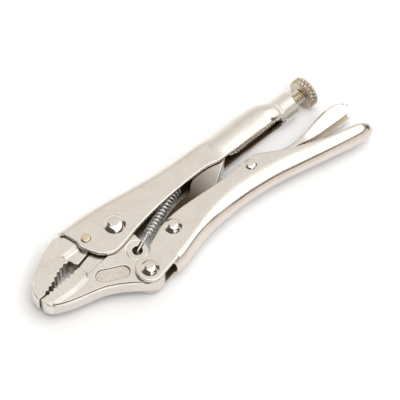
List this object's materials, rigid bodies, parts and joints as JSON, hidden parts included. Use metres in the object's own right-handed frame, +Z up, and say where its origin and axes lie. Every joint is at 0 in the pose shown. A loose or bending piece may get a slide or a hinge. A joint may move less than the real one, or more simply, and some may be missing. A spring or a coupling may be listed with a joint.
{
  "type": "locking pliers",
  "caption": "Curved-jaw locking pliers with wire cutter, toggle link, release lever, return spring and a knurled adjusting screw, shut and locked on their side.",
  "frame": {"origin": "centre of the part's box on the surface it lies on", "axes": "+X along the tool from the jaws to the adjusting knob, +Y towards the fixed handle, +Z up, along the rivets"},
  "size_m": [0.2488, 0.0802, 0.0214],
  "materials": {
    "plated_sheet": "satin nickel plate on pressed steel sheet",
    "plated_forging": "satin nickel plate on forged steel",
    "bright_rivet": "bright nickel plate",
    "yellowed_rivet": "yellowish plated, peened",
    "plated_link": "satin nickel plate",
    "polished_sheet": "bright nickel plate on pressed steel sheet",
    "spring_wire": "plated spring wire",
    "screw_steel": "warm grey plated, rolled thread and knurl"
  },
  "bodies": {
    "fixed_handle": {"fixed_handle": "plated_sheet", "upper_jaw": "plated_forging", "upper_jaw_rivet": "yellowed_rivet", "main_rivet": "bright_rivet", "return_spring": "spring_wire"},
    "lower_jaw": {"lower_jaw": "plated_forging"},
    "movable_handle": {"movable_handle": "plated_sheet", "lower_jaw_rivet": "bright_rivet", "link_rivet": "bright_rivet", "lever_rivet": "bright_rivet"},
    "toggle_link": {"toggle_link": "plated_link"},
    "release_lever": {"release_lever": "polished_sheet"},
    "adjusting_screw": {"adjusting_screw": "screw_steel"},
    "knurled_knob": {"knurled_knob": "screw_steel"}
  },
  "joints": [
    {"name": "jaw_pivot", "type": "hinge", "parent": "fixed_handle", "child": "lower_jaw", "pos_m": [-0.05305, 0.01915, 0.0107], "axis": [0, 0, 1], "range_deg": [0, 25.1], "deforming": ["return_spring"]},
    {"name": "handle_pivot", "type": "hinge", "parent": "lower_jaw", "child": "movable_handle", "pos_m": [-0.05805, -0.02035, 0.0107], "axis": [0, 0, -1], "range_deg": [0, 79]},
    {"name": "link_pivot", "type": "hinge", "parent": "movable_handle", "child": "toggle_link", "pos_m": [-0.02655, -0.00735, 0.0107], "axis": [0, 0, 1], "range_deg": [0, 88.1]},
    {"name": "release_lever_pivot", "type": "hinge", "parent": "movable_handle", "child": "release_lever", "pos_m": [0.04195, -0.00685, 0.0107], "axis": [0, 0, -1], "range_deg": [0, 6]},
    {"name": "screw_slide", "type": "slide", "parent": "fixed_handle", "child": "adjusting_screw", "axis": [1, 0, 0], "range_m": [0, 0.0089]},
    {"name": "knob_turn", "type": "hinge", "parent": "adjusting_screw", "child": "knurled_knob", "pos_m": [0.10995, 0.01425, 0.0107], "axis": [1, 0, 0], "range_deg": [0, 1620]}
  ],
  "couplings": [
    {"joint": "jaw_pivot", "follows": "handle_pivot", "ratio": 0.31646},
    {"joint": "link_pivot", "follows": "handle_pivot", "ratio": 1.1139},
    {"joint": "knob_turn", "follows": "screw_slide", "rad_per_m": 3141.6}
  ]
}
